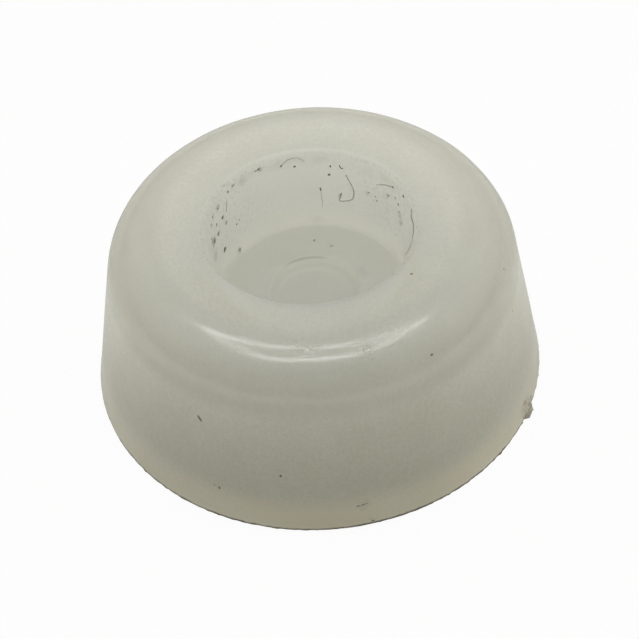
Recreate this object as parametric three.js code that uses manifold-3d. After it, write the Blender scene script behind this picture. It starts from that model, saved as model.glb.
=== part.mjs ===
// A tapered bumper pad: one moulded piece of milky elastomer with a blind round recess in its top.
// Millimetres and degrees, +Z up. The origin is the centre of the flat base, and the gate stub is on +X.
import * as THREE from "three";
import { mergeVertices } from "three/addons/utils/BufferGeometryUtils.js";
import Module from "manifold-3d";

const wasm = await Module();
wasm.setup();

// Outer form
const baseDiameter = 22.2;
const padHeight = 9.5;
const sideDraft = 9.3;
const shoulderRound = 2.6;
const baseEdgeRound = 0.2;

// Blind recess in the top, with a draft on its wall so that the core pin lets go
const recessMouthDiameter = 10.1;
const recessDepth = 4.5;
const recessDraft = 5;
const recessMouthRound = 0.35;
const recessFloorRound = 0.3;

// Shallow disc sunk into the recess floor
const discDiameter = 4.65;
const discDepth = 0.6;
const discDraft = 15;
const discEdgeRound = 0.1;
const discFloorRound = 0.45;

// Stub left at the base edge where the moulding was broken from its gate
const gateWidth = 0.9;
const gateReach = 0.45;
const gateFootHeight = 0.1;
const gateFaceHeight = 0.35;
const gateTopHeight = 1.1;
const gateRoot = 1.5;

// Fineness of the mesh
const facetsAround = 96;
const arcTolerance = 0.01;
const weldTolerance = 1e-4;

const milkyElastomer = new THREE.MeshStandardMaterial({
  name: "milky_elastomer",
  color: "#c8c8bb",
  roughness: 0.4,
  metalness: 0,
});

// How far a drafted wall leans sideways over a height.
function lean(draft, height) {
  return height * Math.tan(THREE.MathUtils.degToRad(draft));
}

// Radius of the plain tapered side at a height above the base.
function sideRadius(height) {
  return baseDiameter / 2 - lean(sideDraft, height);
}

// The corners of half the section, from the middle of the base, round the outside and into the recess.
// Each is a radius, a height and the fillet that rounds it.
function sectionCorners() {
  const recessFloor = padHeight - recessDepth;
  const discFloor = recessFloor - discDepth;
  const mouthRadius = recessMouthDiameter / 2;
  const discRadius = discDiameter / 2;
  return [
    { r: 0, z: 0, round: 0 },
    { r: sideRadius(0), z: 0, round: baseEdgeRound },
    { r: sideRadius(padHeight), z: padHeight, round: shoulderRound },
    { r: mouthRadius, z: padHeight, round: recessMouthRound },
    { r: mouthRadius - lean(recessDraft, recessDepth), z: recessFloor, round: recessFloorRound },
    { r: discRadius, z: recessFloor, round: discEdgeRound },
    { r: discRadius - lean(discDraft, discDepth), z: discFloor, round: discFloorRound },
    { r: 0, z: discFloor, round: 0 },
  ];
}

// A corner seen from its own point: the ways back and on, half the angle between them,
// and the reach of its fillet along each way.
function cornerBetween(before, here, after, round) {
  const back = before.clone().sub(here).normalize();
  const on = after.clone().sub(here).normalize();
  const halfAngle = Math.acos(back.dot(on)) / 2;
  return { here, back, on, halfAngle, reach: round / Math.tan(halfAngle) };
}

// The points of a fillet, from where it leaves one straight to where it meets the next.
function filletPoints({ here, back, on, halfAngle, reach }) {
  const radius = reach * Math.tan(halfAngle);
  const towardsCentre = back.clone().add(on).normalize();
  const centre = here.clone().addScaledVector(towardsCentre, reach / Math.cos(halfAngle));
  const start = here.clone().addScaledVector(back, reach);
  const turn = Math.sign(on.cross(back)) * (Math.PI - 2 * halfAngle);
  const stepAngle = 2 * Math.acos(1 - Math.min(1, arcTolerance / radius));
  const steps = Math.ceil(Math.abs(turn) / stepAngle);
  return Array.from({ length: steps + 1 }, (_, step) =>
    start.clone().rotateAround(centre, (turn * step) / steps),
  );
}

// An open profile with its corners filleted. Two fillets that would meet on a short straight share it.
function roundedProfile(corners) {
  const points = corners.map(({ r, z }) => new THREE.Vector2(r, z));
  const last = points.length - 1;
  const turns = points.map((here, i) =>
    i > 0 && i < last
      ? cornerBetween(points[i - 1], here, points[i + 1], corners[i].round)
      : { reach: 0 },
  );
  const room = points.slice(1).map((point, i) => {
    const wanted = turns[i].reach + turns[i + 1].reach;
    return Math.min(1, point.distanceTo(points[i]) / wanted);
  });
  return points.flatMap((point, i) => {
    if (i === 0 || i === last) {
      return [point];
    }
    return filletPoints({ ...turns[i], reach: turns[i].reach * Math.min(room[i - 1], room[i]) });
  });
}

// A closed geometry as a solid that can be joined or cut.
function solidOf(geometry) {
  geometry.deleteAttribute("normal");
  geometry.deleteAttribute("uv");
  const merged = mergeVertices(geometry, weldTolerance);
  return new wasm.Manifold(
    new wasm.Mesh({
      numProp: 3,
      vertProperties: merged.attributes.position.array,
      triVerts: new Uint32Array(merged.index.array),
    }),
  );
}

// A solid as a geometry that a mesh can hold.
function geometryOf(solid) {
  const { vertProperties, triVerts } = solid.getMesh();
  const geometry = new THREE.BufferGeometry();
  geometry.setAttribute("position", new THREE.BufferAttribute(vertProperties, 3));
  geometry.setIndex(new THREE.BufferAttribute(triVerts, 1));
  geometry.computeVertexNormals();
  return geometry;
}

// The turned form, spun about +Y by the lathe and then stood up along +Z.
function turnedBody() {
  return new THREE.LatheGeometry(roundedProfile(sectionCorners()), facetsAround).rotateX(Math.PI / 2);
}

// The gate stub: a small wedge with a steep broken face, rooted in the side just above the base.
function gateStub() {
  const rootRadius = sideRadius(0) - gateRoot;
  const faceRadius = sideRadius(0) + gateReach;
  const outline = new THREE.Shape([
    new THREE.Vector2(rootRadius, gateFootHeight),
    new THREE.Vector2(faceRadius, gateFootHeight),
    new THREE.Vector2(faceRadius, gateFootHeight + gateFaceHeight),
    new THREE.Vector2(sideRadius(gateTopHeight), gateTopHeight),
    new THREE.Vector2(rootRadius, gateTopHeight),
  ]);
  return new THREE.ExtrudeGeometry(outline, { depth: gateWidth, bevelEnabled: false })
    .rotateX(Math.PI / 2)
    .translate(0, gateWidth / 2, 0);
}

function makeBumperPad() {
  const body = solidOf(turnedBody()).add(solidOf(gateStub()));
  const mesh = new THREE.Mesh(geometryOf(body), milkyElastomer);
  mesh.name = "bumper_pad";
  return mesh;
}

const part = new THREE.Group();
part.add(makeBumperPad());

export default part;
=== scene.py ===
"""A tapered bumper pad of milky elastomer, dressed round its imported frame. Metres, +Z up."""

import math

import bpy
import numpy as np
from mathutils import Matrix, Vector, noise
from mathutils.bvhtree import BVHTree


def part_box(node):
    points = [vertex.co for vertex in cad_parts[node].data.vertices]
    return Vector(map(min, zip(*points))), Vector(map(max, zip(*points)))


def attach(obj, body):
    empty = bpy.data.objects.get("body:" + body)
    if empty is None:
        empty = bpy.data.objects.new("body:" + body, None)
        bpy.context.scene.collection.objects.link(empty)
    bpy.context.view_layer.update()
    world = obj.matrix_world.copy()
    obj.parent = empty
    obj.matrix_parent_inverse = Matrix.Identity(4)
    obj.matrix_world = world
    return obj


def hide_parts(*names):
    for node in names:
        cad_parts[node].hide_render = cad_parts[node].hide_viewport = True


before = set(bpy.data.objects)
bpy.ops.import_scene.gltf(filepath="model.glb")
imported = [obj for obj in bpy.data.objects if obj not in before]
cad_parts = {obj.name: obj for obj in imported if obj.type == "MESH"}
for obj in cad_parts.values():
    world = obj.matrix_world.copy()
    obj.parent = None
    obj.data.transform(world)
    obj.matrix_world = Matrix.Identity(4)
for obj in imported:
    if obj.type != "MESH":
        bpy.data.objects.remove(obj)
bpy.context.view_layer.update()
PAD_LOW, PAD_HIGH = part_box("bumper_pad")

MM = 0.001
BODY = "root"

# Sizes of the pad, the same as in its source
HEIGHT = PAD_HIGH.z - PAD_LOW.z
BASE_RADIUS = 11.1 * MM
SIDE_DRAFT = math.radians(9.3)
SHOULDER_ROUND = 2.6 * MM
BASE_EDGE_ROUND = 0.2 * MM
MOUTH_RADIUS = 5.05 * MM
RECESS_DEPTH = 4.5 * MM
RECESS_FLOOR = HEIGHT - RECESS_DEPTH
RECESS_DRAFT = math.radians(5)
MOUTH_ROUND = 0.35 * MM
RECESS_FLOOR_ROUND = 0.3 * MM
DISC_RADIUS = 2.325 * MM
DISC_DEPTH = 0.6 * MM
DISC_DRAFT = math.radians(15)
DISC_EDGE_ROUND = 0.1 * MM
DISC_FLOOR_ROUND = 0.45 * MM
GATE_WIDTH = 0.9 * MM
GATE_REACH = PAD_HIGH.x - PAD_HIGH.y
GATE_FOOT = 0.1 * MM
GATE_TOP = 1.1 * MM

# The photograph's camera, and the point beside the part's origin that it looks at
FRAME_SIDE = 639
SENSOR_WIDTH = 36
FOCAL_PIXELS = 2300
CAMERA_AZIMUTH = math.radians(25.5)
CAMERA_ELEVATION = math.radians(46.9)
CAMERA_ROLL = math.radians(4.16)
CAMERA_DISTANCE = 116.4 * MM
CLIP_START = CAMERA_DISTANCE / 10
AIM_ACROSS = 0.006 * MM
AIM_UP = 1.945 * MM

# Turns right, away and up, as the camera has them, into the part's axes
CAMERA_TURN = Matrix.Rotation(CAMERA_AZIMUTH, 3, "Z")
RIGHT = (1, 0, 0)
AWAY = (0, 1, 0)
TOWARDS = (0, -1, 0)
UP = (0, 0, 1)


# Camera

def make_camera():
    level = CAMERA_TURN @ Vector(RIGHT)
    back = CAMERA_TURN @ Vector((0, -math.cos(CAMERA_ELEVATION), math.sin(CAMERA_ELEVATION)))
    roll = Matrix.Rotation(-CAMERA_ROLL, 3, back)
    right = roll @ level
    up = roll @ back.cross(level)
    data = bpy.data.cameras.new("camera")
    data.sensor_width = SENSOR_WIDTH
    data.lens = FOCAL_PIXELS / FRAME_SIDE * SENSOR_WIDTH
    data.clip_start = CLIP_START
    camera = bpy.data.objects.new("camera", data)
    bpy.context.scene.collection.objects.link(camera)
    matrix = Matrix((right, up, back)).transposed().to_4x4()
    matrix.translation = right * AIM_ACROSS + up * AIM_UP + back * CAMERA_DISTANCE
    camera.matrix_world = matrix
    bpy.context.scene.camera = camera
    return camera


def pixel_ray(camera, pixel):
    """Start and direction of the camera's ray through a pixel of the photograph."""
    across = (pixel[0] - FRAME_SIDE / 2) / FOCAL_PIXELS
    up = (FRAME_SIDE / 2 - pixel[1]) / FOCAL_PIXELS
    direction = camera.matrix_world.to_3x3() @ Vector((across, up, -1))
    return camera.matrix_world.translation, direction.normalized()


def surface_at(camera, surface, pixel):
    """The point and normal of the pad that the photograph shows at a pixel."""
    point, normal, _, _ = surface.ray_cast(*pixel_ray(camera, pixel))
    return point, normal


# Shader nodes

SPOT_CORE = 0.3


def node(tree, kind, inputs, **settings):
    """A new shader node, with its settings and with a value or a link for each named input."""
    made = tree.nodes.new(kind)
    for name, value in settings.items():
        setattr(made, name, value)
    for name, value in inputs.items():
        if isinstance(value, bpy.types.NodeSocket):
            tree.links.new(value, made.inputs[name])
        else:
            made.inputs[name].default_value = value
    return made


def vector_node(tree, operation, inputs, output="Vector"):
    """The result of a vector operation."""
    return node(tree, "ShaderNodeVectorMath", inputs, operation=operation).outputs[output]


def noise_texture(tree, place, feature, detail):
    """Noise whose features are about this many metres across."""
    inputs = {"Vector": place, "Scale": 1 / feature, "Detail": detail}
    return node(tree, "ShaderNodeTexNoise", inputs).outputs["Fac"]


def ramp(tree, value, start, end, low=0, high=1):
    """Goes smoothly from low to high as value goes from start to end."""
    inputs = {"Value": value, "From Min": start, "From Max": end, "To Min": low, "To Max": high}
    kind = "SMOOTHSTEP"
    return node(tree, "ShaderNodeMapRange", inputs, interpolation_type=kind).outputs["Result"]


def stretched_noise(tree, place, feature, detail, *span):
    """Noise put through a ramp."""
    return ramp(tree, noise_texture(tree, place, feature, detail), *span)


def combine(tree, operation, first, *others):
    """Values put together, one after another, by a named operation."""
    for other in others:
        made = node(tree, "ShaderNodeMath", {0: first, 1: other}, operation=operation)
        first = made.outputs["Value"]
    return first


def unsigned(tree, value):
    return node(tree, "ShaderNodeMath", {0: value}, operation="ABSOLUTE").outputs["Value"]


def blend_colour(tree, factor, first, second):
    inputs = {"Fac": factor, "Color1": first, "Color2": second}
    return node(tree, "ShaderNodeMixRGB", inputs).outputs["Color"]


def along(tree, place, direction):
    """How far a place lies along a direction given as right, away and up from the camera's side."""
    inputs = {0: place, 1: CAMERA_TURN @ Vector(direction)}
    return vector_node(tree, "DOT_PRODUCT", inputs, "Value")


def spot(tree, place, centre, reach, strength):
    """A soft round spot: strength at its centre, 0 beyond its reach."""
    distance = vector_node(tree, "DISTANCE", {0: place, 1: centre}, "Value")
    return ramp(tree, distance, reach, reach * SPOT_CORE, 0, strength)


def placed_spots(camera, surface, tree, place, marks):
    """The strongest of several marks, each laid where the photograph shows it."""
    spots = []
    for pixel, reach, strength in marks:
        centre, _ = surface_at(camera, surface, pixel)
        spots.append(spot(tree, place, centre, reach * MM, strength))
    return combine(tree, "MAXIMUM", *spots)


def new_material(name):
    """A material with its node tree and its shader."""
    material = bpy.data.materials.new(name)
    material.use_nodes = True
    return material, material.node_tree, material.node_tree.nodes["Principled BSDF"]


# Colours of the elastomer, and how each is laid.
# A span gives where a change starts and ends, and then what it goes from and to if not 0 and 1.
# A noise gives the size of its features and its detail, and then a span.

BODY_COLOUR = (0.675, 0.675, 0.605, 1)
MOTTLE_COLOUR = (0.577, 0.577, 0.508, 1)
MOTTLE_NOISES = [(2.2 * MM, 1, 0.2, 0.8), (0.22 * MM, 4, 0.3, 0.7), (0.09 * MM, 1, 0.35, 0.65)]
INSIDE_RADII = (MOUTH_RADIUS + MOUTH_ROUND, MOUTH_RADIUS + MOUTH_ROUND / 2)

# Painted light: the recess walls bluer and its floor lighter, as light through the body would make
# them
WALL_PAINTED_LIGHT = (0.645, 0.655, 0.625, 1)
WALL_HEIGHTS = (HEIGHT - 0.3 * MM, HEIGHT - 1.2 * MM, 0, 0.8)
RECESS_FLOOR_PAINTED_LIGHT = (0.72, 0.74, 0.69, 1)
FLOOR_HEIGHTS = (RECESS_FLOOR + 0.25 * MM, RECESS_FLOOR)

# Painted light: the rim round the recess lighter, and yellower on its near side
RIM_PAINTED_LIGHT = (0.74, 0.74, 0.665, 1)
RIM_RADII = (7.3 * MM, 5.2 * MM)
RIM_HEIGHTS = (HEIGHT - 2.6 * MM, HEIGHT - 0.3 * MM, 0, 0.42)
NEAR_RIM_PAINTED_LIGHT = (0.76, 0.74, 0.42, 1)
NEAR_RIM_SPAN = (2 * MM, 6 * MM)

# Painted shade: the shoulder darker, most at both sides
SHOULDER_PAINTED_SHADE = (0.46, 0.46, 0.42, 1)
SHOULDER_RADII = (6.8 * MM, 7.7 * MM)
SHOULDER_HEIGHTS = (6.4 * MM, 7.4 * MM, 0, 0.42)
SHOULDER_SIDES = (3 * MM, 8 * MM, 1, 1.3)

# Painted warm light from the table on the foot, which also makes the foot partly opaque
WARM_PAINTED_LIGHT = (0.83, 0.72, 0.545, 1)
WARM_HEIGHTS = (2.4 * MM, 0.4 * MM)
WARM_NOISE = (4 * MM, 1, 0.3, 0.7, 0.4, 1)
WARM_SIDES = (3 * MM, 10 * MM, 1, 0.5)
WARM_OPACITY = 0.38

# Dirt on the elastomer, and painted shade: a contact shadow along the foot, shade on the torn gate,
# shade in the recess floor's corner, under the disc's far edge and on the recess walls at both
# sides

DIRT_AND_SHADE_COLOUR = (0.12, 0.11, 0.085, 1)
# Painted contact shadow: a dark ragged line along the lower edge
FOOT_SHADOW_HEIGHTS = (0.38 * MM, 0.25 * MM, 0, 0.93)
FOOT_SHADOW_FEATURE = 0.5 * MM
FOOT_SHADOW_DETAIL = 2
FOOT_SHADOW_RAG = 0.16 * MM
# Painted shade on the torn gate stub
GATE_SHADE = (Vector((BASE_RADIUS, 0, GATE_TOP / 2)), 0.85 * MM, 0.42)
STIR_FEATURE = 0.25 * MM
STIR_DETAIL = 2
STIR_MIDDLE = (0.5, 0.5, 0.5)
STIR_REACH = (0.6 * MM, 0.6 * MM, 0.6 * MM)

RECESS_DIRT_AND_SHADE_HEIGHTS = (2 * MM, 3 * MM)
# A darker band just under the recess mouth
MOUTH_BAND_LOWER_EDGE = (HEIGHT - 1.05 * MM, HEIGHT - 0.55 * MM)
MOUTH_BAND_UPPER_EDGE = (HEIGHT - 0.1 * MM, HEIGHT - 0.4 * MM)
MOUTH_BAND_NOISE = (0.6 * MM, 6, 0.35, 0.65, 0.02, 0.1)
# Painted shade: the recess floor darker towards its corner with the wall
FLOOR_CORNER_SHADE_HEIGHTS = (RECESS_FLOOR + 0.2 * MM, RECESS_FLOOR + 0.05 * MM)
FLOOR_CORNER_SHADE_RADII = (DISC_RADIUS - 0.3 * MM, DISC_RADIUS + 1.5 * MM, 0.02, 0.07)
# Painted shade: a thin dark line under the disc's far edge, on the side away from the camera
DISC_SHADE_LINE_HEIGHT = RECESS_FLOOR - 0.08 * MM
DISC_SHADE_LINE_EDGE = (0.1 * MM, 0.02 * MM)
DISC_SHADE_LINE_SIDE = (-0.16, 1, 0)
DISC_SHADE_LINE_SPAN = (1.9 * MM, 2.3 * MM, 0, 0.26)
# Grit on the recess walls, stronger at both sides, where it paints shade as well
GRIT_AND_SHADE_SIDES = (1 * MM, 4.4 * MM, 0.15, 1)
GRIT_NOISE = (0.16 * MM, 2, 0.5, 0.72, 0.03, 0.2)
GRIT_HEIGHTS = (RECESS_FLOOR + 0.2 * MM, RECESS_FLOOR + 1.5 * MM)

# Smudges that show in the photograph, and painted shade round the torn gate (the last six): pixel,
# reach in millimetres, strength
SMUDGES_AND_GATE_SHADE = [
    ((213.9, 242), 0.4, 0.5), ((217.1, 208.6), 0.25, 0.4), ((211.5, 224.5), 0.2, 0.4),
    ((213.1, 216.5), 0.2, 0.35), ((218.7, 234.1), 0.25, 0.35), ((215.5, 256), 0.5, 0.25),
    ((239.4, 251.6), 0.25, 0.25), ((331.1, 245.2), 0.35, 0.12), ((398.9, 214.9), 0.25, 0.25),
    ((400.5, 222.9), 0.3, 0.25), ((387.7, 195.8), 0.2, 0.25), ((340.8, 196), 0.12, 0.3),
    ((367, 192.6), 0.25, 0.15), ((242.6, 179.9), 0.4, 0.2), ((233, 185.4), 0.2, 0.4),
    ((260.2, 168.7), 0.2, 0.4), ((318, 227), 0.7, 0.08), ((362, 272), 0.6, 0.1),
    ((363.5, 505), 0.45, 0.13), ((373.7, 520), 0.3, 0.25), ((525.2, 402.4), 0.25, 0.6),
    ((527.5, 416.5), 0.4, 0.65), ((531, 399), 0.32, 0.5), ((530.3, 411), 0.35, 0.65),
    ((530.3, 404.5), 0.35, 0.65), ((524.8, 418), 0.3, 0.5),
]

# Skin of the elastomer. Scuffs are listed the way smudges are.

SCUFFS = [
    ((303, 347), 0.6, 1.5), ((313, 348), 0.4, 1.3), ((325, 346), 0.4, 0.6),
    ((370, 347), 1.1, 0.7), ((367, 350), 0.4, 1.2), ((392, 334), 1.4, 0.8),
    ((245, 343), 0.9, 0.3), ((352, 342), 0.4, 0.7),
]
CRACKLE_NOISE = (1.1 * MM, 1, 0.5, 0.7, 0, 0.15)
GRAIN_FEATURE = 0.28 * MM
GRAIN_DETAIL = 2
NICK_NOISE = (0.13 * MM, 1, 0.45, 0.7)
SKIN_DEPTH = 0.014 * MM
GLOSS_NOISE = (1.4 * MM, 1, 0.2, 0.8, 0.12, 0.18)
SCUFFED_GLOSS = (0, 1, 1, 0.4)
RECESS_ROUGHNESS = 0.5
REFRACTION = 1.48
SCATTER_SHARES = (1, 1, 1)
SCATTER_REACH = 36 * MM

# Lint

LINT_FEATURE = 0.3 * MM
LINT_DETAIL = 3
LINT_SPAN = (0.3, 0.7)
LINT_ROUGHNESS = 0.9


# Materials

def stirred(tree, place):
    """The place moved about by noise, so that what is laid by it has a ragged edge."""
    inputs = {"Vector": place, "Scale": 1 / STIR_FEATURE, "Detail": STIR_DETAIL}
    swirl = node(tree, "ShaderNodeTexNoise", inputs).outputs["Color"]
    swirl = vector_node(tree, "SUBTRACT", {0: swirl, 1: STIR_MIDDLE})
    return vector_node(tree, "MULTIPLY_ADD", {0: swirl, 1: STIR_REACH, 2: place})


def recess_dirt_and_shade(tree, place, radius, height, inside):
    """A darker band under the recess mouth, painted shade in the corner of its floor, gritty specks
    on its walls that paint shade too, mostly at both sides, and a thin painted shade line under the
    far edge of the disc."""
    mouth_band = combine(
        tree, "MULTIPLY",
        ramp(tree, height, *MOUTH_BAND_LOWER_EDGE),
        ramp(tree, height, *MOUTH_BAND_UPPER_EDGE),
        stretched_noise(tree, place, *MOUTH_BAND_NOISE))
    floor_corner_shade = combine(
        tree, "MULTIPLY",
        ramp(tree, height, *FLOOR_CORNER_SHADE_HEIGHTS),
        ramp(tree, radius, *FLOOR_CORNER_SHADE_RADII))
    off_shade_line = unsigned(tree, combine(tree, "SUBTRACT", height, DISC_SHADE_LINE_HEIGHT))
    line = combine(
        tree, "MULTIPLY",
        ramp(tree, off_shade_line, *DISC_SHADE_LINE_EDGE),
        ramp(tree, along(tree, place, DISC_SHADE_LINE_SIDE), *DISC_SHADE_LINE_SPAN))
    grit_and_side_shade = combine(
        tree, "MULTIPLY",
        ramp(tree, unsigned(tree, along(tree, place, RIGHT)), *GRIT_AND_SHADE_SIDES),
        stretched_noise(tree, place, *GRIT_NOISE),
        ramp(tree, height, *GRIT_HEIGHTS))
    inside = combine(tree, "MULTIPLY", inside, ramp(tree, height, *RECESS_DIRT_AND_SHADE_HEIGHTS))
    return combine(tree, "MULTIPLY", inside, combine(tree, "MAXIMUM", mouth_band, floor_corner_shade, line, grit_and_side_shade))


def milky_elastomer(camera, surface):
    material, tree, shader = new_material("milky_elastomer")
    place = node(tree, "ShaderNodeTexCoord", {}).outputs["Object"]
    axes = node(tree, "ShaderNodeSeparateXYZ", {"Vector": place}).outputs
    flat = node(tree, "ShaderNodeCombineXYZ", {"X": axes["X"], "Y": axes["Y"]}).outputs["Vector"]
    radius = vector_node(tree, "LENGTH", {0: flat}, "Value")
    height = axes["Z"]
    sideways = unsigned(tree, along(tree, place, RIGHT))
    inside = ramp(tree, radius, *INSIDE_RADII)

    # Colour: faint mottling all over
    layers = [stretched_noise(tree, place, *layer) for layer in MOTTLE_NOISES]
    mottle = combine(tree, "MULTIPLY", combine(tree, "ADD", *layers), 1 / len(layers))
    colour = blend_colour(tree, mottle, BODY_COLOUR, MOTTLE_COLOUR)

    # Colour: painted light and shade on the recess, the rim round it and the shoulder: bluer walls
    # and a lighter floor in the recess, a lighter rim that is yellower on its near side, and a
    # darker shoulder
    low = ramp(tree, height, *FLOOR_HEIGHTS)
    recess_painted_light = blend_colour(tree, low, WALL_PAINTED_LIGHT, RECESS_FLOOR_PAINTED_LIGHT)
    walls = combine(tree, "MULTIPLY", inside, ramp(tree, height, *WALL_HEIGHTS))
    colour = blend_colour(tree, walls, colour, recess_painted_light)
    near = ramp(tree, along(tree, place, TOWARDS), *NEAR_RIM_SPAN)
    rim_painted_light = blend_colour(tree, near, RIM_PAINTED_LIGHT, NEAR_RIM_PAINTED_LIGHT)
    rim = combine(
        tree, "MULTIPLY",
        ramp(tree, radius, *RIM_RADII),
        ramp(tree, height, *RIM_HEIGHTS))
    colour = blend_colour(tree, rim, colour, rim_painted_light)
    shoulder = combine(
        tree, "MULTIPLY",
        ramp(tree, radius, *SHOULDER_RADII),
        ramp(tree, height, *SHOULDER_HEIGHTS),
        ramp(tree, sideways, *SHOULDER_SIDES))
    colour = blend_colour(tree, shoulder, colour, SHOULDER_PAINTED_SHADE)

    # Colour: a warmer foot, painted warm light from the table
    warm = combine(
        tree, "MULTIPLY",
        ramp(tree, height, *WARM_HEIGHTS),
        stretched_noise(tree, place, *WARM_NOISE),
        ramp(tree, sideways, *WARM_SIDES))
    colour = blend_colour(tree, warm, colour, WARM_PAINTED_LIGHT)

    # Dirt and painted shade: a painted contact shadow along the lower edge, painted shade on the
    # torn gate, smudges, and what lies in the recess
    ragged = noise_texture(tree, place, FOOT_SHADOW_FEATURE, FOOT_SHADOW_DETAIL)
    ragged = combine(tree, "MULTIPLY", ragged, FOOT_SHADOW_RAG)
    foot_shadow = ramp(tree, combine(tree, "ADD", height, ragged), *FOOT_SHADOW_HEIGHTS)
    gate = spot(tree, place, *GATE_SHADE)
    smudges_and_gate_shade = placed_spots(camera, surface, tree, stirred(tree, place), SMUDGES_AND_GATE_SHADE)
    in_recess = recess_dirt_and_shade(tree, place, radius, height, inside)
    # Dirt and painted shade, all laid in one dark colour
    dirt_and_shade = combine(tree, "MAXIMUM", foot_shadow, gate, smudges_and_gate_shade, in_recess)
    colour = blend_colour(tree, dirt_and_shade, colour, DIRT_AND_SHADE_COLOUR)
    opaque = combine(tree, "MAXIMUM", dirt_and_shade, combine(tree, "MULTIPLY", warm, WARM_OPACITY))
    milky = combine(tree, "SUBTRACT", 1, opaque)

    # Skin: glossy outside with scuffed patches, matt inside the recess
    scuffs = placed_spots(camera, surface, tree, place, SCUFFS)
    rough = combine(tree, "MAXIMUM", stretched_noise(tree, place, *CRACKLE_NOISE), scuffs)
    grain = noise_texture(tree, place, GRAIN_FEATURE, GRAIN_DETAIL)
    grain = combine(tree, "MULTIPLY", grain, rough)
    nicks = combine(tree, "MULTIPLY", stretched_noise(tree, place, *NICK_NOISE), scuffs)
    relief = {"Height": combine(tree, "ADD", grain, nicks), "Strength": 1, "Distance": SKIN_DEPTH}
    skin = node(tree, "ShaderNodeBump", relief).outputs["Normal"]
    gloss = combine(
        tree, "MULTIPLY",
        stretched_noise(tree, place, *GLOSS_NOISE),
        ramp(tree, scuffs, *SCUFFED_GLOSS))
    gloss = {"Value": inside, "To Min": gloss, "To Max": RECESS_ROUGHNESS}
    roughness = node(tree, "ShaderNodeMapRange", gloss).outputs["Result"]

    tree.links.new(colour, shader.inputs["Base Color"])
    tree.links.new(roughness, shader.inputs["Roughness"])
    tree.links.new(skin, shader.inputs["Normal"])
    tree.links.new(milky, shader.inputs["Subsurface Weight"])
    shader.inputs["IOR"].default_value = REFRACTION
    shader.inputs["Subsurface Radius"].default_value = SCATTER_SHARES
    shader.inputs["Subsurface Scale"].default_value = SCATTER_REACH
    return material


def lint(name, dark, light):
    """Dust and fibre, uneven in tone."""
    material, tree, shader = new_material(name)
    place = node(tree, "ShaderNodeTexCoord", {}).outputs["Object"]
    tone = stretched_noise(tree, place, LINT_FEATURE, LINT_DETAIL, *LINT_SPAN)
    tree.links.new(blend_colour(tree, tone, dark, light), shader.inputs["Base Color"])
    shader.inputs["Roughness"].default_value = LINT_ROUGHNESS
    return material


# Meshes

def new_piece(name, vertices, faces, material):
    """A smooth-shaded mesh object that rides on the pad's body."""
    mesh = bpy.data.meshes.new(name)
    mesh.from_pydata([tuple(v) for v in vertices], [], faces)
    mesh.polygons.foreach_set("use_smooth", [True] * len(mesh.polygons))
    mesh.materials.append(material)
    mesh.update()
    piece = bpy.data.objects.new(name, mesh)
    bpy.context.scene.collection.objects.link(piece)
    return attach(piece, BODY)


# The pad's section

WIDE_FILLET = 1 * MM
WIDE_FILLET_STEP = math.radians(5)
SMALL_FILLET_STEP = math.radians(10)


def section_corners():
    """Radius, height and fillet of each corner, then how many rows the straight after it has
    and how those rows crowd to its start."""
    disc_floor = RECESS_FLOOR - DISC_DEPTH
    top_radius = BASE_RADIUS - HEIGHT * math.tan(SIDE_DRAFT)
    floor_radius = MOUTH_RADIUS - RECESS_DEPTH * math.tan(RECESS_DRAFT)
    disc_floor_radius = DISC_RADIUS - DISC_DEPTH * math.tan(DISC_DRAFT)
    return [
        (0, 0, 0, 8, 1),
        (BASE_RADIUS, 0, BASE_EDGE_ROUND, 30, 1.85),
        (top_radius, HEIGHT, SHOULDER_ROUND, 8, 1),
        (MOUTH_RADIUS, HEIGHT, MOUTH_ROUND, 14, 1),
        (floor_radius, RECESS_FLOOR, RECESS_FLOOR_ROUND, 8, 1),
        (DISC_RADIUS, RECESS_FLOOR, DISC_EDGE_ROUND, 2, 1),
        (disc_floor_radius, disc_floor, DISC_FLOOR_ROUND, 6, 1),
        (0, disc_floor, 0, 0, 1),
    ]


def fillet(before, here, after, radius):
    """The points of the arc that rounds a corner, from one straight to the next."""
    step = WIDE_FILLET_STEP if radius > WIDE_FILLET else SMALL_FILLET_STEP
    back = (before - here).normalized()
    on = (after - here).normalized()
    half = back.angle(on) / 2
    centre = here + (back + on).normalized() * radius / math.sin(half)
    start = here + back * radius / math.tan(half) - centre
    turn = math.copysign(math.pi - 2 * half, back.y * on.x - back.x * on.y)
    steps = math.ceil(abs(turn) / step)
    return [centre + Matrix.Rotation(turn * k / steps, 2) @ start for k in range(steps + 1)]


def section():
    """Half the section as points of radius and height, from the middle of the base, round the
    outside and into the recess, to the middle of the disc's floor."""
    corners = section_corners()
    points = [Vector(corner[:2]) for corner in corners]
    last = len(corners) - 1
    arcs = [[points[0]]]
    for k in range(1, last):
        arcs.append(fillet(points[k - 1], points[k], points[k + 1], corners[k][2]))
    arcs.append([points[last]])
    line = []
    for k, arc in enumerate(arcs):
        line += arc
        rows, crowding = corners[k][3:]
        for row in range(1, rows):
            line.append(arc[-1].lerp(arcs[k + 1][0], (row / rows) ** crowding))
    return line


# The pad's mesh. Noise is taken at so many waves to the millimetre, from an offset of its own.

COLUMNS = 720
GATE_CROWDING = 0.5
SURFACE_WAVE = 0.012 * MM
SURFACE_WAVES = 0.35

EDGE_ROWS = 6
BURR_REACH = 0.04 * MM
BURR_HEIGHT = 0.35 * MM
BURR_MIDDLE = 0.6
BURR_SHARE = 0.6
BURR_WAVES = [(1.1, Vector((0, 0, 0))), (3.1, Vector((9, 0, 0)))]
TIP_WAVES = 3.7
TIP_OFFSET = Vector((0, 7, 0))
TIP_START = 0.15
TIP_SHARE = 2

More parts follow.
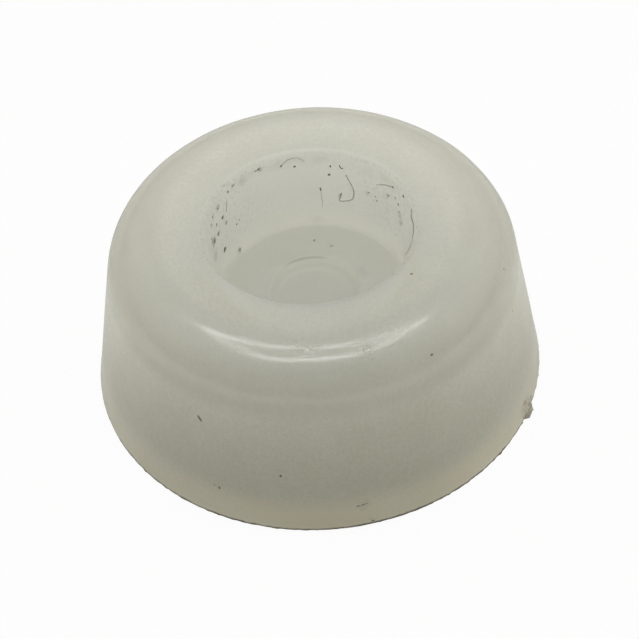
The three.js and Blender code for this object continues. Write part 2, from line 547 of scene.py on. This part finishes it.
GATE_UNEVENNESS = 0.25
GATE_WAVES = 3
GATE_OFFSET = Vector((0, 5, 1))
GATE_FULL_WIDTH = 0.6
GATE_RISE = (0, GATE_FOOT * 2)
GATE_FALL = (GATE_FOOT * 3, GATE_TOP)
TORN_MIDDLE = 0.5
TORN_SHARE = 0.14
TORN_WAVES = (3, 4)
TORN_OFFSET = 2


def smooth(start, end, value):
    """0 before start, 1 after end, smooth between them."""
    share = min(max((value - start) / (end - start), 0), 1)
    return share * share * (3 - 2 * share)


def column_angles():
    """Azimuths of the lathe's columns, twice as close at the gate as on average."""
    turns = np.arange(COLUMNS) / COLUMNS
    return 2 * math.pi * turns - GATE_CROWDING * np.sin(2 * math.pi * turns)


def gate_reach(angle, height, radius):
    """How far the torn gate stub stands out of the side."""
    across = abs(math.atan2(math.sin(angle), math.cos(angle))) * radius
    uneven = noise.noise(Vector((height / MM * GATE_WAVES, 0, 0)) + GATE_OFFSET)
    width = GATE_WIDTH / 2 * (1 + GATE_UNEVENNESS * uneven)
    side = 1 - smooth(width * GATE_FULL_WIDTH, width, across)
    rise = smooth(*GATE_RISE, height)
    fall = 1 - smooth(*GATE_FALL, height)
    spot_on_face = (across / MM * TORN_WAVES[0], height / MM * TORN_WAVES[1], TORN_OFFSET)
    torn = TORN_MIDDLE + TORN_SHARE * noise.noise(Vector(spot_on_face))
    return GATE_REACH * side * rise * fall * torn


def burr(angle, height):
    """Raggedness of the trimmed base edge."""
    around = Vector((math.cos(angle), math.sin(angle), 0)) * BASE_RADIUS / MM
    rag = sum(BURR_SHARE * noise.noise(around * waves + offset) for waves, offset in BURR_WAVES)
    tips = max(0, noise.noise(around * TIP_WAVES + TIP_OFFSET) - TIP_START) * TIP_SHARE
    return BURR_REACH * (rag + tips + BURR_MIDDLE) * (1 - smooth(0, BURR_HEIGHT, height))


def pad_vertex(point, angle, outside):
    """A vertex of the pad: its place on the turned form, moved by what makes the surface real."""
    radius, height = point
    place = Vector((radius * math.cos(angle), radius * math.sin(angle), height))
    wave = noise.noise(place / MM * SURFACE_WAVES) * SURFACE_WAVE
    if outside and height < HEIGHT / 2:
        radius += burr(angle, height) + gate_reach(angle, height, radius)
    if height > 0:
        radius += wave
        height += wave * smooth(0, HEIGHT / 2, height)
    return radius * math.cos(angle), radius * math.sin(angle), height


def pad_mesh():
    line = section()
    angles = column_angles()
    rows = line[1:-1]
    widest = max(range(len(rows)), key=lambda k: rows[k].x)
    vertices = [(0, 0, line[0].y)]
    for k, point in enumerate(rows):
        outside = point.x > DISC_RADIUS and k > widest - EDGE_ROWS
        vertices += [pad_vertex(point, angle, outside) for angle in angles]
    vertices.append((0, 0, line[-1].y))
    after = [(k + 1) % COLUMNS for k in range(COLUMNS)]
    faces = [(0, 1 + after[k], 1 + k) for k in range(COLUMNS)]
    for row in range(len(rows) - 1):
        low = 1 + row * COLUMNS
        high = low + COLUMNS
        faces += [(low + k, low + after[k], high + after[k], high + k) for k in range(COLUMNS)]
    top = 1 + (len(rows) - 1) * COLUMNS
    centre = len(vertices) - 1
    faces += [(top + k, top + after[k], centre) for k in range(COLUMNS)]
    return new_piece("milky_pad", vertices, faces, None)


# Lint and specks, each placed by pixels of the photograph and laid on the surface that shows there

LINT_TONES = {
    "lint": [(0.17, 0.16, 0.135, 1), (0.42, 0.41, 0.35, 1)],
    "mid_lint": [(0.25, 0.24, 0.2, 1), (0.56, 0.55, 0.48, 1)],
    "pale_lint": [(0.4, 0.39, 0.34, 1), (0.62, 0.61, 0.54, 1)],
}

# Each fibre's name, tone, width in millimetres and pixels
FIBRES = [
    ("hook", "mid_lint", 0.045, [
        (342, 193), (340.5, 197), (339.3, 200.6), (346.2, 201), (352.2, 199.2),
        (354, 194), (352.7, 188), (349.6, 182), (345.7, 175)]),
    ("arch", "pale_lint", 0.04, [
        (281.1, 166.2), (286.8, 160.5), (291.1, 158.7), (297.1, 158.2), (304, 161.3)]),
    ("rim", "lint", 0.055, [
        (411.6, 208.7), (411.3, 216.4), (413.3, 223.3), (413.7, 230.2), (412.5, 238)]),
    ("rim_end", "pale_lint", 0.035, [(412.5, 238), (409.9, 247.4), (403.9, 256)]),
    ("left_thread", "pale_lint", 0.035, [(226.5, 200.9), (226.6, 206), (226.2, 212)]),
    ("right_thread", "pale_lint", 0.04, [
        (376.3, 185.1), (381, 184.6), (386.6, 185.4), (392.7, 187.2)]),
    ("curl", "lint", 0.055, [(339.3, 165.1), (340, 167.2), (341.5, 168.4), (343.3, 168.4)]),
    ("drop", "pale_lint", 0.022, [(320.6, 190), (321.6, 197), (322.6, 203), (322.4, 207)]),
]

# Each speck's pixel, its length and width in millimetres, and its tilt from upright in degrees
RECESS_SPECKS = [
    ((258.4, 169.4), 0.11, 0.09, 0), ((255.6, 171.4), 0.07, 0.05, 60),
    ((281.1, 166.2), 0.1, 0.08, 20), ((294.5, 166.5), 0.09, 0.09, 0),
    ((233.4, 185.1), 0.13, 0.06, 35), ((227.9, 191.8), 0.1, 0.09, 0),
    ((223.9, 185.4), 0.06, 0.05, 0), ((217.9, 208.7), 0.1, 0.06, 10),
    ((222.7, 217.3), 0.16, 0.14, 0), ((226.2, 223), 0.18, 0.07, 45),
    ((216.7, 225), 0.16, 0.07, 0), ((211.9, 225), 0.12, 0.05, 0), ((212.6, 217), 0.1, 0.05, 0),
    ((218.2, 233.7), 0.17, 0.08, 15), ((214.9, 241), 0.2, 0.12, 30),
    ((211.5, 238.8), 0.12, 0.07, 0), ((224.8, 249.5), 0.22, 0.15, 0),
    ((239.9, 250), 0.2, 0.08, -8), ((239.4, 219.9), 0.07, 0.06, 0),
    ((236.8, 224.2), 0.08, 0.06, 20), ((330.3, 166.2), 0.11, 0.07, 0),
    ((329.1, 174.6), 0.13, 0.09, 35), ((320.5, 189.2), 0.17, 0.06, -5),
    ((392.7, 187.2), 0.13, 0.07, -60), ((403.4, 196.3), 0.12, 0.11, 0),
    ((395.3, 197.8), 0.1, 0.06, 0), ((388.4, 195.8), 0.12, 0.06, 80),
    ((398.2, 204.4), 0.13, 0.08, 0), ((376.8, 200.9), 0.09, 0.06, -20),
    ((368.6, 192.7), 0.12, 0.05, 75), ((375.5, 196.6), 0.07, 0.05, 0),
    ((399.6, 212.1), 0.09, 0.05, 0), ((401.3, 223.3), 0.08, 0.05, 60),
    ((411.6, 210), 0.1, 0.07, 0), ((314.3, 240.5), 0.12, 0.08, 20),
    ((331.5, 246), 0.12, 0.04, 70), ((340.9, 194.5), 0.19, 0.05, 20),
]
OUTER_SPECKS = [
    ((199.6, 418.6), 0.28, 0.1, -18), ((214.3, 484.9), 0.09, 0.06, 0),
    ((219.3, 487.5), 0.14, 0.1, 0), ((280.6, 476), 0.1, 0.09, 0),
    ((431.8, 354.7), 0.12, 0.08, 70), ((411.3, 273.8), 0.13, 0.08, 80),
    ((512.3, 310.8), 0.08, 0.05, 0), ((504, 269.5), 0.07, 0.05, 0),
    ((373, 520.6), 0.14, 0.06, 70), ((358.5, 506), 0.14, 0.07, 70),
    ((363, 504.8), 0.16, 0.06, 75), ((366.5, 503.6), 0.08, 0.05, 70),
]
FIBRE_SIDES = 6
FIBRE_END_SHARE = 0.45
PATH_STEPS = 6
SPECK_RINGS = 5
SPECK_SIDES = 10
SPECK_RISE = 0.35
SPECK_SPREAD = 1.35
SPECK_UNEVENNESS = 0.3
SPECK_WAVES = 25
SPECK_OFFSET_RATE = 9


def curve_through(pixels):
    """Pixels close together along a smooth curve through a few."""
    ends = [pixels[0], *pixels, pixels[-1]]
    found = []
    for k in range(len(pixels) - 1):
        a, b, c, d = (np.array(p) for p in ends[k:k + 4])
        for t in np.arange(PATH_STEPS) / PATH_STEPS:
            bend = (2 * a - 5 * b + 4 * c - d) * t**2 + (3 * b - a - 3 * c + d) * t**3
            found.append(b + ((c - a) * t + bend) / 2)
    return [*found, np.array(pixels[-1])]


def ring_faces(rings, sides):
    """Faces of a closed shape made of a first point, rings of points and a last point."""
    last = 1 + rings * sides
    faces = []
    for side in range(sides):
        after = (side + 1) % sides
        faces.append((0, 1 + after, 1 + side))
        for ring in range(rings - 1):
            low = 1 + ring * sides
            faces.append((low + side, low + after, low + sides + after, low + sides + side))
        faces.append((last - sides + side, last - sides + after, last))
    return faces


def fibre_shape(camera, surface, pixels, width):
    """Vertices and faces of a tapered fibre that lies along the surface."""
    stops = [surface_at(camera, surface, pixel) for pixel in curve_through(pixels)]
    radius = width * MM / 2
    last = len(stops) - 1
    vertices = [stops[0][0]]
    for k, (point, normal) in enumerate(stops):
        on = (stops[min(k + 1, last)][0] - stops[max(k - 1, 0)][0]).normalized()
        across = normal.cross(on).normalized()
        fullness = math.sqrt(math.sin(math.pi * (k + 1) / (last + 2)))
        thick = radius * (FIBRE_END_SHARE + (1 - FIBRE_END_SHARE) * fullness)
        for side in range(FIBRE_SIDES):
            angle = 2 * math.pi * side / FIBRE_SIDES
            vertices.append(point + (across * math.cos(angle) + normal * math.sin(angle)) * thick)
    vertices.append(stops[-1][0])
    return vertices, ring_faces(len(stops), FIBRE_SIDES)


def speck_shape(camera, surface, pixel, length, width, tilt):
    """Vertices and faces of a speck: an uneven flattened grain, half sunk in the surface."""
    point, normal = surface_at(camera, surface, pixel)
    lean = math.radians(tilt)
    length = length * SPECK_SPREAD
    width = width * SPECK_SPREAD
    upright = camera.matrix_world.to_3x3() @ Vector((math.sin(lean), math.cos(lean), 0))
    on = (upright - normal * upright.dot(normal)).normalized()
    across = normal.cross(on)
    vertices = [point - on * length * MM / 2]
    for ring in range(1, SPECK_RINGS + 1):
        turn = math.pi * ring / (SPECK_RINGS + 1)
        for side in range(SPECK_SIDES):
            angle = 2 * math.pi * side / SPECK_SIDES
            out = across * math.cos(angle) + normal * math.sin(angle) * SPECK_RISE
            offset = out * math.sin(turn) * width / 2 - on * math.cos(turn) * length / 2
            waves = noise.noise(point / MM * SPECK_OFFSET_RATE + offset * SPECK_WAVES)
            vertices.append(point + offset * (1 + SPECK_UNEVENNESS * waves) * MM)
    vertices.append(point + on * length * MM / 2)
    return vertices, ring_faces(SPECK_RINGS, SPECK_SIDES)


def joined_piece(name, shapes, material):
    """One piece that holds several closed shapes."""
    vertices = []
    faces = []
    for shape_vertices, shape_faces in shapes:
        start = len(vertices)
        vertices += shape_vertices
        faces += [tuple(start + k for k in face) for face in shape_faces]
    return new_piece(name, vertices, faces, material)


def add_lint(camera, surface):
    materials = {name: lint(name, *tones) for name, tones in LINT_TONES.items()}
    for name, tone, width, pixels in FIBRES:
        shape = fibre_shape(camera, surface, pixels, width)
        joined_piece(f"fibre_{name}", [shape], materials[tone])
    for name, specks in (("recess_specks", RECESS_SPECKS), ("outer_specks", OUTER_SPECKS)):
        shapes = [speck_shape(camera, surface, *speck) for speck in specks]
        joined_piece(name, shapes, materials["lint"])


# Stage and light

WHITE = (1, 1, 1, 1)

# The floor, and the table top that it is to the pad.
# Places on it are in millimetres right and away from the pad's axis.
FLOOR_HALF_SIDE = 1.5
FLOOR_CORNERS = [(-1, -1), (1, -1), (1, 1), (-1, 1)]
FLOOR_GAP = 0.03 * MM
FLOOR_SHADOW_SHARE = 0.05
TABLE_FRONT = (1, 0.955, 0.74, 1)
TABLE_BEHIND = (1, 0.975, 0.84, 1)
TABLE_MIRRORED = (1, 1, 0.93, 1)
TABLE_GLOW = (0.37, 1.03)
TABLE_GLOW_REACH = (13 * MM, 36 * MM)
SHADE_CENTRE = (-0.5, -20)
UNDER_PAD_SPAN = (BASE_RADIUS - 4 * MM, BASE_RADIUS - 1.5 * MM, 0.5, 1)
MIRROR_SPAN = (3 * MM, 13.5 * MM, 0.71, 0.45)

# Brighter patches of the table: place and added glow
BRIGHT_PATCHES = [((12, -9), 0.13), ((-13.5, -2), 0.06), ((13.5, 0), 0.03)]
BRIGHT_PATCH_REACH = 8 * MM

SKY_COLOUR = (1, 1, 0.945, 1)
SKY_STRENGTH = 1.3
SKY_RISE = 0.72
SKY_FROM_RIGHT = 0.1
SKY_FRONT_SPAN = (-0.77, 0)
SKY_BEHIND_SPAN = (1, 0.55)

# The tubes of a lamp that hangs over the pad, and two faint streaks beside it:
# where each starts and ends, right and away from the pad in metres, and its share of the power
LAMP_HEIGHT = 1
LAMP_CORNERS = [(-0.39, 0.385), (0.42, 0.2), (0.24, -0.14), (-0.32, -0.14)]
TUBE_SHARES = [1, 1, 1, 0.6]
TUBES = list(zip(LAMP_CORNERS, LAMP_CORNERS[1:] + LAMP_CORNERS[:1], TUBE_SHARES))
TUBES += [((-0.5, 0.39), (-1.1, 0.3), 0.12), ((0.47, 0.17), (0.85, -0.05), 0.1)]
TUBE_BREADTH = 0.14
TUBE_POWER = 2.2


def on_table(place):
    """The point of the table at a place in millimetres right and away."""
    return CAMERA_TURN @ Vector((*place, 0)) * MM


def table_glow(tree, place, mirrored):
    """Colour and strength of the table top: dim in front of the pad and under it, and dimmer
    and more neutral in reflections."""
    from_axis = vector_node(tree, "LENGTH", {0: place}, "Value")
    off_shade = vector_node(tree, "DISTANCE", {0: place, 1: on_table(SHADE_CENTRE)}, "Value")
    lit = ramp(tree, off_shade, *TABLE_GLOW_REACH)
    strength = ramp(tree, lit, 0, 1, *TABLE_GLOW)
    for centre, glow in BRIGHT_PATCHES:
        patch = spot(tree, place, on_table(centre), BRIGHT_PATCH_REACH, glow)
        strength = combine(tree, "ADD", strength, patch)
    strength = combine(tree, "MULTIPLY", strength, ramp(tree, from_axis, *UNDER_PAD_SPAN))
    share = ramp(tree, along(tree, place, AWAY), *MIRROR_SPAN)
    loss = combine(tree, "MULTIPLY", combine(tree, "SUBTRACT", 1, share), mirrored)
    strength = combine(tree, "MULTIPLY", strength, combine(tree, "SUBTRACT", 1, loss))
    colour = blend_colour(tree, lit, TABLE_FRONT, TABLE_BEHIND)
    return blend_colour(tree, mirrored, colour, TABLE_MIRRORED), strength


def mix_shaders(tree, share, first, second):
    mixed = node(tree, "ShaderNodeMixShader", {"Fac": share})
    tree.links.new(first, mixed.inputs[1])
    tree.links.new(second, mixed.inputs[2])
    return mixed.outputs["Shader"]


def make_floor():
    """A pale floor: white with a soft shadow to the camera, and a warm table top to the pad."""
    mesh = bpy.data.meshes.new("floor")
    side = FLOOR_HALF_SIDE
    vertices = [(x * side, y * side, -FLOOR_GAP) for x, y in FLOOR_CORNERS]
    mesh.from_pydata(vertices, [], [(0, 1, 2, 3)])
    floor = bpy.data.objects.new("floor", mesh)
    bpy.context.scene.collection.objects.link(floor)
    material, tree, _ = new_material("floor")
    mesh.materials.append(material)
    tree.nodes.clear()
    place = node(tree, "ShaderNodeNewGeometry", {}).outputs["Position"]
    rays = node(tree, "ShaderNodeLightPath", {}).outputs
    colour, strength = table_glow(tree, place, rays["Is Glossy Ray"])
    table = node(tree, "ShaderNodeEmission", {"Color": colour, "Strength": strength})
    paper = node(tree, "ShaderNodeBsdfDiffuse", {"Color": WHITE})
    glow = node(tree, "ShaderNodeEmission", {"Color": WHITE})
    seen = mix_shaders(tree, FLOOR_SHADOW_SHARE, glow.outputs["Emission"], paper.outputs["BSDF"])
    both = mix_shaders(tree, rays["Is Camera Ray"], table.outputs["Emission"], seen)
    node(tree, "ShaderNodeOutputMaterial", {"Surface": both})


def make_world():
    """Soft light from above and from the sides, dim low down in front of the pad and behind it."""
    world = bpy.data.worlds.new("world")
    bpy.context.scene.world = world
    world.use_nodes = True
    tree = world.node_tree
    tree.nodes.clear()
    direction = node(tree, "ShaderNodeTexCoord", {}).outputs["Generated"]
    away = along(tree, direction, AWAY)
    right = along(tree, direction, (SKY_FROM_RIGHT, 0, 0))
    height = combine(tree, "MAXIMUM", along(tree, direction, UP), 0)
    strength = combine(
        tree, "MULTIPLY",
        combine(tree, "POWER", height, SKY_RISE),
        SKY_STRENGTH,
        combine(tree, "ADD", right, 1),
        ramp(tree, away, *SKY_FRONT_SPAN),
        ramp(tree, away, *SKY_BEHIND_SPAN))
    sky = node(tree, "ShaderNodeBackground", {"Color": SKY_COLOUR, "Strength": strength})
    plain = node(tree, "ShaderNodeBackground", {"Color": WHITE, "Strength": 1})
    camera_ray = node(tree, "ShaderNodeLightPath", {}).outputs["Is Camera Ray"]
    both = mix_shaders(tree, camera_ray, sky.outputs["Background"], plain.outputs["Background"])
    node(tree, "ShaderNodeOutputWorld", {"Surface": both})


def make_lamp():
    """Rectangular lamps along the tubes. They face the pad, and show as lines on its shoulder."""
    for k, (start, end, share) in enumerate(TUBES):
        start = CAMERA_TURN @ Vector((*start, LAMP_HEIGHT))
        end = CAMERA_TURN @ Vector((*end, LAMP_HEIGHT))
        length = (end - start).length
        data = bpy.data.lights.new(f"tube_{k}", "AREA")
        data.shape = "RECTANGLE"
        data.size = length
        data.size_y = TUBE_BREADTH
        data.energy = TUBE_POWER * length * share
        tube = bpy.data.objects.new(f"tube_{k}", data)
        bpy.context.scene.collection.objects.link(tube)
        middle = (start + end) / 2
        across = (end - start).normalized()
        back = (middle - across * middle.dot(across)).normalized()
        matrix = Matrix((across, back.cross(across), back)).transposed().to_4x4()
        matrix.translation = middle
        tube.matrix_world = matrix
        tube.visible_diffuse = False


camera = make_camera()
make_world()
make_lamp()
make_floor()
pad = pad_mesh()
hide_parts("bumper_pad")
pad_surface = BVHTree.FromObject(pad, bpy.context.evaluated_depsgraph_get())
pad.data.materials[0] = milky_elastomer(camera, pad_surface)
add_lint(camera, pad_surface)

bpy.context.scene.view_settings.view_transform = "Standard"
